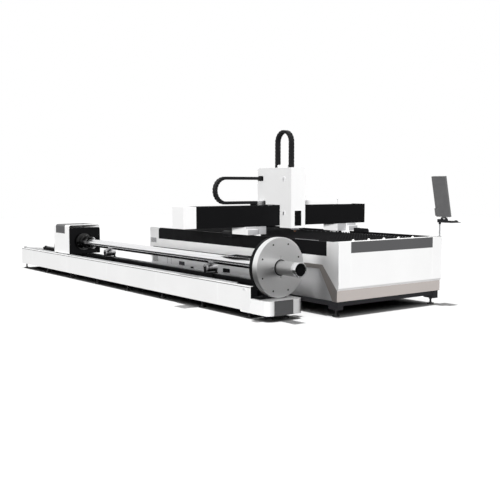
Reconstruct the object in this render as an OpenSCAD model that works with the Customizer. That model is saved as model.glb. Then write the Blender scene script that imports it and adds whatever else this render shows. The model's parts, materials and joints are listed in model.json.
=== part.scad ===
// Laser cutting machine for sheet and tube: a flat bed with a travelling gantry,
// and a long tube bed with two chucks beside it.
// The modules draw with X = 0 at the flat bed's left side, Y = 0 at its front face and
// Z = 0 on the floor, and at_origin() centres the machine over the origin.

/* [Flat bed] */
// Width of the flat bed over its side panels
bed_w = 2195; // [2155:5:2275]
// Length of the flat bed over its end panels
bed_l = 5285; // [5200:5:5500]
// Height of the flat bed's top edge above the floor
bed_top = 1065; // [1050:5:1080]
// Sheet thickness of the panels and covers
panel_t = 4; // [3:0.5:6]
// Width of each main side beam
side_beam_w = 200; // [160:10:220]
// Distance of the side beams from the side panels
side_beam_inset = 40; // [36:1:48]
// Drop from the top edge to the rail seat
rail_seat_drop = 65; // [60:1:70]
// Width of the dark plinth rails
plinth_w = 100; // [80:5:120]
// Height of the plinth's underside above the floor
plinth_z = 150; // [140:5:160]
// Height of the lower edge of the panels
skirt_z = 220; // [210:5:235]
// Height of the front panel's lower fold
fold_z = 414; // [400:2:430]
// Depth of the front panel's lower fold
fold_in = 30; // [20:2:40]
// Height of the beige trim's top edge at the front
front_trim_z = 378; // [360:2:390]
// Height of the beige trim's top edge along the sides
side_trim_z = 728; // [715:1:740]
// Width of the beige band along the sides
side_trim_w = 61; // [50:1:70]
// Distance from the front where the slanting trim reaches the side band
trim_slant_y = 340; // [300:5:380]
// Depth of the front panel's top lip
front_lip = 120; // [100:5:140]

/* [Guards and vents] */
// Front end of the black rail guards
guard_y0 = 254; // [240:2:270]
// Length of the rear corner posts
rear_post_l = 328; // [300:4:360]
// Height of the rail guards
guard_h = 205; // [180:5:220]
// Corner radius at the rear of the guards
guard_r = 60; // [40:5:80]
// Width of the gray strip on the front panel
strip_w = 1740; // [1600:10:1800]
// Height of the gray strip on the front panel
strip_h = 160; // [140:5:180]

/* [Slat table] */
// Distance between neighbouring slats
slat_pitch = 120; // [100:5:150]
// Thickness of a slat
slat_t = 4; // [3:0.5:6]
// Height of a slat to its tooth tips
slat_h = 97; // [85:1:100]
// Distance between neighbouring teeth
tooth_pitch = 60; // [50:5:80]
// Depth of the teeth
tooth_h = 22; // [15:1:30]
// Distance from the front face to the first slat
slat_y0 = 300; // [280:5:340]

/* [Gantry] */
// Distance from the flat bed's front face to the beam's front cover
beam_y = 2021; // [1990:1:2060]
// Front to back depth of the beam
beam_d = 330; // [300:5:350]
// Height of the beam's underside
beam_z = 1201; // [1195:1:1215]
// Height of the beam
beam_h = 333; // [320:1:340]
// Overhang of the beam to the left of the flat bed
beam_left = 1275; // [1240:5:1290]
// Overhang of the beam to the right of the flat bed
beam_right = 334; // [320:1:350]
// Length of the white cap on the beam's left end
cap_l = 226; // [200:2:240]
// Length of each carriage along the rails
carriage_l = 425; // [410:5:450]
// Overhang of the carriages past the side panels
carriage_out = 113; // [100:1:125]
// Width of each carriage
carriage_w = 423; // [400:1:440]
// Width of the part of a carriage that stands out in front of the beam
carriage_face = 213; // [195:1:230]
// Width of a linear rail
rail_w = 34; // [30:1:40]
// Height of a linear rail
rail_h = 30; // [26:1:32]
// Radius of the drive motors
motor_r = 50; // [40:1:52]
// Length of the drive motors
motor_l = 275; // [200:5:300]

/* [Cutting head] */
// Distance from the flat bed's left side to the head's centre line
head_x = 717; // [690:1:760]
// Width of the head housing
head_w = 296; // [280:2:310]
// Distance from the housing's front face to the beam cover
head_front = 300; // [280:2:310]
// Front to back depth of the head housing
head_d = 887; // [860:1:900]
// Height of the head housing's lower edge
head_z = 1171; // [1165:1:1185]
// Height of the head housing's top
head_top = 2147; // [2120:1:2170]
// Distance from the housing's front face to the nozzle's axis
nozzle_in = 79; // [70:1:90]
// Height of the nozzle's tip at rest
nozzle_z = 1100; // [1095:1:1110]

/* [Cable chains] */
// Thickness of the traverse chain
chain_h = 50; // [40:1:52]
// Width of the traverse chain
chain_w = 80; // [70:1:90]
// Bend radius of the traverse chain at its middle
chain_r = 201; // [196:0.5:206]
// Pitch of the traverse chain's links
chain_pitch = 56; // [50:1:64]
// Distance from the bend's centre to the head housing
chain_reach = 746.5; // [735:0.5:760]
// Thickness of the lift chain
lift_chain_h = 46; // [42:1:50]
// Width of the lift chain
lift_chain_w = 84; // [76:1:88]
// Bend radius of the lift chain at its middle
lift_chain_r = 175; // [168:0.5:182]
// Height of the lift chain's loop above the housing
lift_chain_rise = 615; // [590:1:630]

/* [Console] */
// Height of the keyboard tray's top
tray_z = 1292; // [1280:1:1310]
// Depth of the keyboard tray from the post outwards
tray_d = 216; // [210:1:240]
// Width of the keyboard tray
tray_w = 280; // [270:5:300]
// Width of the monitor
monitor_w = 265; // [245:5:285]
// Height of the monitor along its face
monitor_h = 640; // [600:5:660]
// Thickness of the monitor
monitor_t = 36; // [30:1:45]
// Lean of the monitor away from the operator
monitor_lean = 12.5; // [10:0.5:14]
// Radius of the console post
post_r = 11; // [10:0.5:13]

/* [Tube bed] */
// Gap between the tube bed and the flat bed
tube_gap = 397; // [370:1:420]
// Width of the tube bed over its panels
tube_w = 633; // [610:1:650]
// Front end of the tube bed's side panels
tube_y0 = 679; // [670:1:690]
// Rear end of the tube bed
tube_y1 = 9340; // [9250:1:9400]
// Height of the tube bed's top edge
tube_top = 457; // [450:1:465]
// Height of the tube bed panels' lower edge
tube_z = 107; // [100:1:112]
// Length of one side panel between two seams
tube_panel_l = 1805; // [1700:5:1850]
// Front end of the low end box
end_box_y = 280; // [265:1:295]
// Height of the low end box's top
end_box_top = 288; // [280:1:295]
// Height of the low end box's lower edge
end_box_z = 81; // [76:1:90]
// Corner radius of the low end box
end_box_r = 100; // [80:5:120]

/* [Chucks and tube] */
// Height of the tube's axis
axis_z = 725; // [720:1:730]
// Radius of the round tube in the chucks
tube_r = 76; // [68:1:78]
// Radius of the front chuck's disc
disc_r = 420; // [405:1:428]
// Front face of the front chuck's disc
disc_y = 404; // [390:1:420]
// Thickness of the front chuck's disc
disc_t = 100; // [80:1:110]
// Radius of the guide nose
nose_r = 98; // [95:1:106]
// Radius of the through bore in nose and disc
bore_r = 88; // [85:0.5:90]
// Length of the guide nose
nose_l = 420; // [390:1:440]
// Radius of the front chuck's bearing hub
hub_r = 150; // [130:1:170]
// Front face of the rear carriage
rear_y = 6820; // [6750:5:6900]
// Length of the rear carriage
rear_l = 760; // [720:5:800]
// Height of the rear carriage's top
rear_top = 1060; // [1040:1:1080]
// Radius of the rear chuck's flange
flange_r = 168; // [162:1:180]
// Length of the rear chuck in front of the carriage
rear_chuck_l = 400; // [380:5:420]
// Length of the chuck jaws
jaw_l = 170; // [150:5:180]
// Front support's distance from the flat bed's front face
support_y0 = 2140; // [2100:5:2200]
// Rear support's distance from the flat bed's front face
support_y1 = 5590; // [5500:5:5600]
// Radius of the support rollers
roller_r = 66; // [60:1:70]
// Length of the support rollers
roller_l = 200; // [180:5:220]

/* [Clearances] */
// Gap between pieces that slide or turn past each other
run_gap = 0.3; // [0.2:0.05:0.5]
// Gap between neighbouring panels
seam = 2; // [1:0.5:4]

/* [Hidden] */
$fn = 48;
// Flat bed levels and corners
rail_seat = bed_top - rail_seat_drop;
beam_in0 = side_beam_inset;
beam_in1 = side_beam_inset + side_beam_w;
guard_y1 = bed_l - rear_post_l;
guard_top = bed_top - 3;
guard_z = guard_top - guard_h;
vent_h = 95;
vent_z = side_trim_z + 46;
low_vent_h = 140;
low_vent_z = side_trim_z - 323;
slant_w = 64;
trim_foot = 102;
end_in = 40;
strip_cx = bed_w / 2 + 8;
groove = 3;
ball_x0 = 318;
ball_pitch = 312;
trim_end = 1900;
panel_cut_y = 2450;
panel_cut_l = 170;
panel_drop = 26;
// Plinth legs, and the arms that reach to the tube bed
plinth_in = 30;
leg_l = 200;
leg_count = 6;
leg_pitch = (bed_l - 2 * end_in - leg_l) / (leg_count - 1);
leg_z = 100;
arm_z = 60;
arm_h = 40;
arm_l = 80;
arm_end = 400;
// Slat table
slat_tip = bed_top - 3;
slat_z = slat_tip - slat_h;
ledge_w = 50;
slat_x0 = beam_in1 + 4;
slat_len = bed_w - 2 * slat_x0;
tooth_count = floor(slat_len / tooth_pitch);
slat_count = floor((guard_y1 - slat_y0) / slat_pitch);
// Gantry
rail_x = side_beam_inset + 70;
rail_top = rail_seat + rail_h;
block_w = 90;
block_l = 120;
carriage_z = rail_seat + 72;
carriage_y = beam_y - 46;
beam_x0 = -beam_left;
beam_x1 = bed_w + beam_right;
beam_y1 = beam_y + beam_d;
beam_top = beam_z + beam_h;
cover_t = 6;
black_x0 = beam_x0 + cap_l;
beam_rail_h = 28;
beam_seat = beam_top - 36;
beam_rail_top = beam_seat + beam_rail_h;
carriage_set = 20;
beam_rail_y = [beam_y + 109, beam_y + 269];
motor_x = bed_w + 70;
motor_z = rail_seat + 65;
// Cutting head
head_x0 = head_x - head_w / 2;
head_x1 = head_x + head_w / 2;
head_y0 = beam_y - head_front;
head_y1 = head_y0 + head_d;
front_y1 = beam_y - 10;
head_r = 50;
over_beam_z = beam_top + 8;
over_chain_z = beam_top + 78;
saddle_z = beam_rail_top + 24;
saddle_t = 20;
nozzle_y = head_y0 + nozzle_in;
back_plate_y = front_y1 - 26;
// Traverse chain: centre plane, bend centre and ends
shelf_z = beam_top - 14;
chain_y = beam_y + 479;
chain_low = beam_top + 40;
chain_mid = chain_low + chain_r;
chain_high = chain_low + 2 * chain_r;
chain_cx = head_x0 - chain_reach;
bracket_l = 29;
link_gap = 3;
anchor_x0 = head_x0 - 118;
anchor_x1 = head_x0 + 91;
tray_x1 = bed_w + 52;
tray_half = 80;
tray_h = 76;
// Lift chain: the two legs and the bend
lift_y0 = head_y0 + 178;
lift_y1 = lift_y0 + 2 * lift_chain_r;
lift_mid = (lift_y0 + lift_y1) / 2;
lift_top = head_top + lift_chain_rise;
lift_cz = lift_top - lift_chain_h / 2 - lift_chain_r;
// Console
post_x = bed_w - 26;
post_y = 28;
tray_t = 8;
tray_x0 = post_x - 24;
console_y1 = post_y + 32;
console_y0 = console_y1 - tray_w;
socket_h = 28;
pin_in = 4;
hinge_x = post_x + 50;
hinge_y = post_y - 40;
hinge_z = tray_z + 60;
hinge_r = 8;
// Tube bed
tube_x1 = -tube_gap;
tube_x0 = tube_x1 - tube_w;
tube_cx = (tube_x0 + tube_x1) / 2;
tube_beam_w = 126;
tube_beam_top = tube_top - 7;
tube_beam_z = tube_z + 13;
tube_rail_x = 67;
tube_rail_top = tube_beam_top + 22;
tie_top = tube_beam_z + 30;
tube_lip = 42;
panel_first = 806;
skirt_l = 246;
tube_foot_in = 110;
arm_y = [tube_y0 + skirt_l + 75, bed_l / 2, bed_l - arm_end];
// Chucks
disc_y1 = disc_y + disc_t;
stand_y0 = disc_y1 + 6;
stand_t = 70;
corner_post_w = 195;
stand_x1 = tube_x1 - 125;
nose_y = disc_y - nose_l;
disc_drop = axis_z - end_box_top;
disc_room = 6;
disc_slot = sqrt(max(0, disc_r * disc_r - disc_drop * disc_drop)) + disc_room;
rear_x0 = tube_x0 + 43;
rear_x1 = tube_x1 + 82;
rear_z = tube_rail_top + 6;
rear_r = 40;
shelf_w = 8;
face_t = 10;
band_in = 100;
band_l = 440;
band_h = 175;
band_t = 3;
shaft_r = 101;
bearing_in = 120;
bearing_l = 300;
chuck_bore_l = 240;
jaw_y0 = rear_y - rear_chuck_l - jaw_l;
tube_end = disc_y + 16;
// Supports
roller_z = axis_z - tube_r - run_gap - roller_r;
yoke_z = roller_z - roller_r - 28;
guide_top = yoke_z - 105;
axle_r = 12;
// Whole machine, for the origin
machine_cx = (beam_x0 + max(beam_x1, tray_x0 + tray_d)) / 2;
machine_cy = (console_y0 + tube_y1) / 2;

// Colours
white_paint = [0.95, 0.95, 0.95];
black_paint = [0.09, 0.09, 0.10];
dark_gray = [0.27, 0.27, 0.28];
mid_gray = [0.38, 0.38, 0.39];
chuck_gray = [0.66, 0.66, 0.66];
beige = [0.63, 0.58, 0.56];
steel = [0.72, 0.73, 0.75];
copper = [0.80, 0.50, 0.30];

// Centres the machine over the origin
module at_origin() {
  translate([-machine_cx, -machine_cy, 0]) children();
}

// Box between two opposite corners
module span(low, high) {
  translate(low) cube(high - low);
}

// Plate with an outline given as [y, z], from x0 to x1
module plate_yz(x0, x1, outline) {
  translate([x0, 0, 0]) rotate([90, 0, 90]) linear_extrude(x1 - x0) polygon(outline);
}

// The children's outline in X and Z, carried along Y from y0 to y1
module along_y(y0, y1) {
  translate([0, y1, 0]) rotate([90, 0, 0]) linear_extrude(y1 - y0) children();
}

// Outline in X and Z with round top corners
module round_top(x0, x1, z0, z1, r) {
  translate([x0, z0]) square([x1 - x0, z1 - r - z0]);
  translate([x0 + r, z0]) square([x1 - x0 - 2 * r, z1 - z0]);
  for (x = [x0 + r, x1 - r])
    translate([x, z1 - r]) circle(r);
}

// Round bar along Y, from y0 to y1
module rod_y(x, z, r, y0, y1) {
  translate([x, y1, z]) rotate([90, 0, 0]) cylinder(r = r, h = y1 - y0);
}

// Round bar along X, from x0 to x1
module rod_x(y, z, r, x0, x1) {
  translate([x0, y, z]) rotate([0, 90, 0]) cylinder(r = r, h = x1 - x0);
}

// The children and their mirror image about the flat bed's middle plane
module both_sides() {
  children();
  translate([bed_w, 0, 0]) mirror([1, 0, 0]) children();
}

// The children and their mirror image about the tube bed's middle plane
module both_tube_sides() {
  children();
  translate([2 * tube_cx, 0, 0]) mirror([1, 0, 0]) children();
}

// Side beams with weight-saving pockets, and the cross members with the scrap pan on them
module bed_frame() {
  pockets = 6;
  pocket_pitch = (bed_l - 2 * end_in) / pockets;
  pocket_l = pocket_pitch - 160;
  color(dark_gray) {
    both_sides() difference() {
      span([beam_in0, end_in, skirt_z], [beam_in1, bed_l - end_in, rail_seat]);
      for (i = [0 : pockets - 1])
        span([beam_in1 - 120, end_in + i * pocket_pitch + 80, skirt_z + 120],
             [beam_in1 + 1, end_in + i * pocket_pitch + 80 + pocket_l, rail_seat - 230]);
    }
    for (i = [0 : pockets])
      let (y = end_in + 5 + i * (pocket_pitch - 15))
        span([beam_in1 + run_gap, y, skirt_z + 10], [bed_w - beam_in1 - run_gap, y + 80, skirt_z + 110]);
    span([beam_in1 + run_gap, end_in + 5, skirt_z + 109],
         [bed_w - beam_in1 - run_gap, bed_l - end_in - 5, skirt_z + 115]);
  }
}

// Dark rails under the panels, with leg blocks and the arms that carry the tube bed
module bed_plinth() {
  inner = plinth_in + plinth_w;
  arm_x0 = tube_x1 - tube_beam_w;
  color(dark_gray) {
    both_sides() {
      span([plinth_in, end_in, plinth_z], [inner, bed_l - end_in, skirt_z]);
      for (i = [0 : leg_count - 1])
        let (y = end_in + i * leg_pitch)
          span([plinth_in, y, leg_z], [inner, y + leg_l, plinth_z]);
    }
    for (y = [end_in + 30, bed_l - end_in - 30 - plinth_w])
      span([inner + run_gap, y, plinth_z], [bed_w - inner - run_gap, y + plinth_w, skirt_z]);
    for (y = arm_y) {
      span([arm_x0, y, arm_z], [inner, y + arm_l, arm_z + arm_h]);
      span([arm_x0, y, arm_z], [tube_x1 - panel_t - 2, y + arm_l, tube_beam_z - run_gap]);
      span([plinth_in, y, arm_z], [inner, y + arm_l, plinth_z - run_gap]);
    }
  }
}

// One levelling foot: pad, stud and lock nut, up to the given height
module levelling_foot(x, y, top) {
  pad_r = 55;
  pad_h = 18;
  stud_r = 15;
  translate([x, y, 0]) {
    cylinder(r = pad_r, h = pad_h);
    cylinder(r1 = pad_r * 0.7, r2 = stud_r + 4, h = pad_h + 14);
    cylinder(r = stud_r, h = top);
    translate([0, 0, top - 22]) cylinder(r = 26, h = 18, $fn = 6);
  }
}

// Feet under the plinth's leg blocks and under the tube bed
module levelling_feet() {
  tube_feet = 8;
  foot_y0 = tube_y0 + tube_foot_in;
  foot_pitch = (tube_y1 - tube_y0 - 2 * tube_foot_in) / (tube_feet - 1);
  color(dark_gray) {
    for (i = [0 : leg_count - 1])
      both_sides() levelling_foot(plinth_in + plinth_w / 2, end_in + leg_l / 2 + i * leg_pitch, leg_z);
    for (i = [0 : tube_feet - 1])
      both_tube_sides()
        levelling_foot(tube_x0 + tube_rail_x, foot_y0 + i * foot_pitch, tube_beam_z);
    both_tube_sides() levelling_foot(tube_x0 + 180, end_box_y + 190, end_box_z);
  }
}

// Front panel folded inwards at its foot, with a lip along its top
module front_panel() {
  color(white_paint) difference() {
    plate_yz(panel_t, bed_w - panel_t, [
      [0, fold_z], [0, bed_top], [front_lip, bed_top], [front_lip, bed_top - panel_t],
      [panel_t, bed_top - panel_t], [panel_t, fold_z + panel_t / 2],
      [fold_in + panel_t, front_trim_z + panel_t / 2], [fold_in + panel_t, front_trim_z],
      [fold_in, front_trim_z]
    ]);
    for (x = [strip_cx - strip_w / 2, strip_cx + strip_w / 2 - groove])
      span([x, -1, fold_z + groove], [x + groove, panel_t / 4, bed_top - 1 - strip_h]);
  }
}

// Gray strip on the front panel
module front_strip() {
  color(mid_gray)
    span([strip_cx - strip_w / 2, -2, bed_top - 1 - strip_h],
         [strip_cx + strip_w / 2, 0, bed_top - 1]);
}

// Outline of the beige band on a side, as [y, z]
function side_trim_outline() = [
  [fold_in, skirt_z], [fold_in, front_trim_z], [trim_slant_y, side_trim_z],
  [trim_end, side_trim_z], [trim_end, side_trim_z - side_trim_w],
  [trim_slant_y + slant_w, side_trim_z - side_trim_w],
  [fold_in + trim_foot + 20, skirt_z + 53], [fold_in + trim_foot, skirt_z]
];

// Beige trim across the front and up along both sides
module lower_trim() {
  color(beige) {
    span([panel_t, fold_in, skirt_z], [bed_w - panel_t, fold_in + panel_t, front_trim_z]);
    span([beam_in1 + run_gap, fold_in, skirt_z],
         [bed_w - beam_in1 - run_gap, end_in + 60, skirt_z + panel_t]);
    both_sides() {
      plate_yz(0, panel_t, side_trim_outline());
      span([0, trim_slant_y + slant_w, side_trim_z - side_trim_w],
           [side_beam_inset - panel_t, trim_end, side_trim_z - side_trim_w + panel_t]);
      span([panel_t + 10, trim_end - 1, side_trim_z - side_trim_w],
           [side_beam_inset - panel_t, bed_l - panel_t, side_trim_z - side_trim_w + panel_t]);
    }
  }
}

// White upper side panels with the corner posts in front of and behind the guards; behind the trim
// they reach lower, past a slanting cut-out
module side_panels() {
  step_z = side_trim_z + 22;
  color(white_paint) both_sides() difference() {
    plate_yz(0, panel_t, [
      [0, fold_z], [fold_in, front_trim_z], [trim_slant_y, side_trim_z], [panel_cut_y, side_trim_z],
      [panel_cut_y + panel_cut_l, side_trim_z - panel_drop], [bed_l, side_trim_z - panel_drop],
      [bed_l, bed_top], [guard_y1, bed_top], [guard_y1, guard_z], [guard_y0, guard_z],
      [guard_y0, bed_top], [0, bed_top]
    ]);
    span([-1, trim_slant_y + slant_w, step_z], [panel_t / 2, bed_l + 1, step_z + 5]);
  }
}

// Recessed lower side panels, and the vents on the rear corner posts
module side_insets() {
  vent_l = rear_post_l - 110;
  vent_y = guard_y1 + 80;
  inset_x = side_beam_inset - panel_t;
  fin_pitch = 12;
  color(mid_gray) both_sides() {
    span([side_beam_inset - panel_t, fold_in + trim_foot + 24, skirt_z],
         [side_beam_inset, bed_l - panel_t, side_trim_z - side_trim_w]);
    for (vent = [[0, vent_z, vent_h], [inset_x, low_vent_z, low_vent_h]])
      difference() {
        span([vent[0] - 3, vent_y, vent[1]], [vent[0], vent_y + vent_l, vent[1] + vent[2]]);
        for (z = [vent[1] + 8 : fin_pitch : vent[1] + vent[2] - 12])
          span([vent[0] - 4, vent_y + 12, z], [vent[0] - 1, vent_y + vent_l - 12, z + 6]);
      }
  }
}

// Rear end panel, grooved where its three sheets meet
module rear_panel() {
  color(white_paint) difference() {
    span([panel_t, bed_l - panel_t, skirt_z], [bed_w - panel_t, bed_l, bed_top]);
    for (x = [bed_w / 3, bed_w * 2 / 3])
      span([x, bed_l - panel_t / 4, skirt_z - 1], [x + groove, bed_l + 1, bed_top + 1]);
  }
}

// Black guards along both rails, rounded at the rear top corner
module rail_guards() {
  color(black_paint) both_sides() {
    rotate([90, 0, 90]) linear_extrude(panel_t) {
      translate([guard_y0, guard_z]) square([guard_y1 - guard_y0, guard_h - guard_r]);
      translate([guard_y0, guard_z]) square([guard_y1 - guard_y0 - guard_r, guard_h]);
      translate([guard_y1 - guard_r, guard_top - guard_r]) circle(guard_r);
    }
    span([0, guard_y0, guard_top - panel_t], [end_in, guard_y1 - guard_r, guard_top]);
  }
}

// Linear rails and toothed racks on the side beams
module bed_rails() {
  rack_x = rail_x + 62;
  color(steel) both_sides() {
    span([rail_x - rail_w / 2, end_in + 20, rail_seat], [rail_x + rail_w / 2, bed_l - end_in - 20, rail_top]);
    span([rack_x, end_in + 20, rail_seat], [rack_x + 24, bed_l - end_in - 20, rail_seat + 24]);
  }
}

// Angle bars on the side beams that the slats stand on
module slat_ledges() {
  ledge_t = 8;
  color(dark_gray) both_sides() {
    span([beam_in1, slat_y0 - 40, slat_z - ledge_t], [beam_in1 + ledge_w, guard_y1 - 40, slat_z]);
    span([beam_in1, slat_y0 - 40, slat_z - 70], [beam_in1 + ledge_t, guard_y1 - 40, slat_z]);
  }
}

// Outline of one toothed slat, as [x, z]
function slat_outline() = concat(
  [[slat_x0 + slat_len, slat_z], [slat_x0, slat_z], [slat_x0, slat_tip - tooth_h]],
  [for (i = [0 : tooth_count - 1]) each [
    [slat_x0 + (i + 0.5) * slat_len / tooth_count, slat_tip],
    [slat_x0 + (i + 1) * slat_len / tooth_count, slat_tip - tooth_h]
  ]]
);

// Toothed slats that carry the sheet
module slats() {
  color(dark_gray)
    for (i = [0 : slat_count - 1])
      along_y(slat_y0 + i * slat_pitch, slat_y0 + i * slat_pitch + slat_t) polygon(slat_outline());
}

// Ball units along the front lip that the sheet is rolled in on
module ball_rollers() {
  cup_r = 22;
  ball_r = 15;
  units = 5;
  ball_z = ball_r + 1;
  color(white_paint)
    for (i = [0 : units - 1]) translate([ball_x0 + i * ball_pitch, front_lip * 0.375, bed_top]) {
      difference() {
        cylinder(r = cup_r, h = ball_r + 3);
        translate([0, 0, ball_z]) sphere(ball_r + run_gap);
      }
      translate([0, 0, ball_z]) sphere(ball_r);
    }
}

// Post on the front right corner that carries the console
module console_post() {
  flange = 44;
  color(steel) {
    span([post_x - flange / 2, post_y - 22, bed_top], [post_x + flange / 2, post_y + 22, bed_top + 8]);
    translate([post_x, post_y, bed_top]) cylinder(r = post_r, h = tray_z - tray_t - socket_h - bed_top);
    translate([post_x, post_y, bed_top]) cylinder(r = post_r - pin_in, h = tray_z - tray_t - 8 - bed_top);
  }
}

// Swivelling tray with its base block and the monitor's hinge bracket
module keyboard_tray() {
  block_d = 100;
  block_w = 130;
  block_h = 44;
  socket_z = tray_z - tray_t - socket_h;
  color(dark_gray) {
    difference() {
      translate([post_x, post_y, socket_z + run_gap]) cylinder(r = post_r + 7, h = socket_h - run_gap);
      translate([post_x, post_y, socket_z - 1])
        cylinder(r = post_r - pin_in + run_gap, h = socket_h - 8 + 1 + run_gap);
    }
    span([tray_x0, console_y0, tray_z - tray_t], [tray_x0 + tray_d, console_y1, tray_z]);
    span([tray_x0, console_y1 - block_w, tray_z], [tray_x0 + block_d, console_y1, tray_z + block_h]);
    difference() {
      for (y = [hinge_y - 50, hinge_y + 34])
        span([hinge_x - 18, y, tray_z + block_h], [hinge_x + 18, y + 16, hinge_z + hinge_r + 3]);
      rod_y(hinge_x, hinge_z, hinge_r + run_gap, hinge_y - 60, hinge_y + 60);
    }
  }
}

// Keyboard and mouse lying on the tray
module keyboard_set() {
  key_x = tray_x0 + 110;
  mouse_x = tray_x0 + tray_d - 55;
  mouse_y = console_y0 + 48;
  color(dark_gray) {
    span([key_x, mouse_y + 50, tray_z], [key_x + 98, console_y1 - 8, tray_z + 14]);
    intersection() {
      translate([mouse_x, mouse_y, tray_z - 14]) sphere(44);
      span([mouse_x - 50, mouse_y - 28, tray_z], [mouse_x + 50, mouse_y + 28, tray_z + 40]);
    }
  }
}

// Upright monitor with its hinge pin and cable box, leaning away from the operator
module monitor() {
  lift = 22;
  bezel = 12;
  color(mid_gray) {
    rod_y(hinge_x, hinge_z, hinge_r, hinge_y - 50, hinge_y + 50);
    translate([hinge_x, hinge_y, hinge_z]) rotate([0, -monitor_lean, 0]) {
      difference() {
        union() {
          translate([-monitor_t / 2, -monitor_w / 2, lift]) cube([monitor_t, monitor_w, monitor_h]);
          translate([-8, -33, 0]) cube([16, 66, lift + 4]);
        }
        for (x = [monitor_t / 2 - 3, -monitor_t / 2 - 1])
          translate([x, -monitor_w / 2 + bezel, lift + bezel])
            cube([4, monitor_w - 2 * bezel, monitor_h - 2 * bezel]);
      }
      translate([-monitor_t / 2 - 42, monitor_w / 2 - 52, lift + 24]) cube([46, 36, 120]);
    }
  }
}

// Long beams of the tube bed, its floor ties with the pan under them, and the end stops
module tube_bed_frame() {
  ties = 11;
  tie_pitch = (tube_y1 - tube_y0 - 160) / (ties - 1);
  beam_y0 = tube_y0 + 11;
  beam_end = tube_y1 - panel_t;
  tie_in = panel_t + tube_beam_w + run_gap;
  color(black_paint) {
    both_tube_sides() {
      span([tube_x0 + panel_t, beam_y0, tube_beam_z],
           [tube_x0 + panel_t + tube_beam_w, beam_end, tube_beam_top]);
      span([tube_x0 + tube_lip + seam, tube_y1 - 60, tube_beam_top],
           [tube_x0 + tube_lip + 60, tube_y1 - 16, tube_beam_top + 24]);
    }
    for (i = [0 : ties - 1])
      span([tube_x0 + tie_in, tube_y0 + 20 + i * tie_pitch, tube_beam_z],
           [tube_x1 - tie_in, tube_y0 + 130 + i * tie_pitch, tie_top]);
    for (y = [support_y0, support_y1])
      span([tube_x0 + tie_in, y - 90, tube_beam_z], [tube_x1 - tie_in, y + 90, tie_top]);
    span([tube_x0 + tie_in, tube_y0 + 12, tube_beam_z - 3],
         [tube_x1 - tie_in, tube_y1 - panel_t - 2, tube_beam_z + 1]);
  }
}

// One white side panel of the tube bed, with its lip over the beam
module tube_side_panel(y0, y1) {
  span([tube_x0, y0, tube_z], [tube_x0 + panel_t, y1, tube_top]);
  span([tube_x0, y0, tube_top - panel_t], [tube_x0 + tube_lip, y1, tube_top]);
}

// White panels along both sides of the tube bed and across its rear end
module tube_bed_panels() {
  first = tube_y0 + panel_first;
  count = floor((tube_y1 - first) / tube_panel_l);
  color(white_paint) {
    both_tube_sides() {
      tube_side_panel(tube_y0, first - seam);
      for (i = [0 : count - 1])
        tube_side_panel(first + i * tube_panel_l, first + (i + 1) * tube_panel_l - seam);
      tube_side_panel(first + count * tube_panel_l, tube_y1);
    }
    span([tube_x0 + panel_t + run_gap, tube_y1 - panel_t, tube_z],
         [tube_x1 - panel_t - run_gap, tube_y1, tube_top - panel_t - run_gap]);
  }
}

// Low box in front of the tube bed with two round corners, a slot for a larger disc to turn in,
// and its skirt under the panels
module end_box() {
  color(white_paint) {
    difference() {
      translate([0, 0, end_box_z]) linear_extrude(end_box_top - end_box_z) {
        translate([tube_x0 + end_box_r, end_box_y])
          square([tube_x1 - tube_x0 - 2 * end_box_r, tube_y0 - end_box_y]);
        translate([tube_x0, end_box_y + end_box_r])
          square([tube_x1 - tube_x0, tube_y0 - end_box_y - end_box_r]);
        for (x = [tube_x0 + end_box_r, tube_x1 - end_box_r])
          translate([x, end_box_y + end_box_r]) circle(end_box_r);
      }
      if (disc_r + disc_room > disc_drop)
        span([tube_cx - disc_slot, disc_y - disc_room, axis_z - disc_r - disc_room],
             [tube_cx + disc_slot, disc_y1 + disc_room - 2, end_box_top + 1]);
    }
    span([tube_x0, tube_y0 - 1, end_box_z], [tube_x0 + panel_t, tube_y0 + skirt_l, tube_z]);
  }
}

// Gray plate between the round corners of the low box
module end_plate() {
  color(dark_gray)
    span([tube_x0 + end_box_r + 6, end_box_y - 4, end_box_z], [tube_x1 - corner_post_w, end_box_y, end_box_top]);
}

// Linear rails on the tube bed's beams
module tube_bed_rails() {
  color(steel) both_tube_sides()
    span([tube_x0 + tube_rail_x - 12, tube_y0 + 400, tube_beam_top],
         [tube_x0 + tube_rail_x + 12, tube_y1 - 80, tube_rail_top]);
}

// Black bearing housing of the front chuck on its foot
module chuck_stand() {
  ring_r = disc_r - 4;
  foot_w = 360;
  color(black_paint) difference() {
    union() {
      rod_y(tube_cx, axis_z, ring_r, stand_y0, stand_y0 + stand_t);
      span([tube_cx - foot_w / 2, stand_y0, end_box_top], [tube_cx + foot_w / 2, stand_y0 + stand_t, axis_z]);
      span([tube_x0 + 40, stand_y0, end_box_top], [stand_x1, tube_y0 - 8, end_box_top + 28]);
    }
    rod_y(tube_cx, axis_z, hub_r + run_gap, stand_y0 - 1, stand_y0 + stand_t + 1);
    span([tube_cx - disc_r, stand_y0 - 1, end_box_z], [tube_cx + disc_r, tube_y0, end_box_top]);
  }
}

// Plates and guide sleeves of the two tube supports
module support_bases() {
  color(black_paint)
    for (y = [support_y0, support_y1]) {
      span([tube_cx - 110, y - 80, tie_top], [tube_cx + 110, y + 80, tie_top + 12]);
      difference() {
        translate([tube_cx, y, tie_top]) cylinder(r = 62, h = guide_top - tie_top);
        translate([tube_cx, y, tie_top + 12]) cylinder(r = 40 + run_gap, h = guide_top);
      }
    }
}

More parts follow.
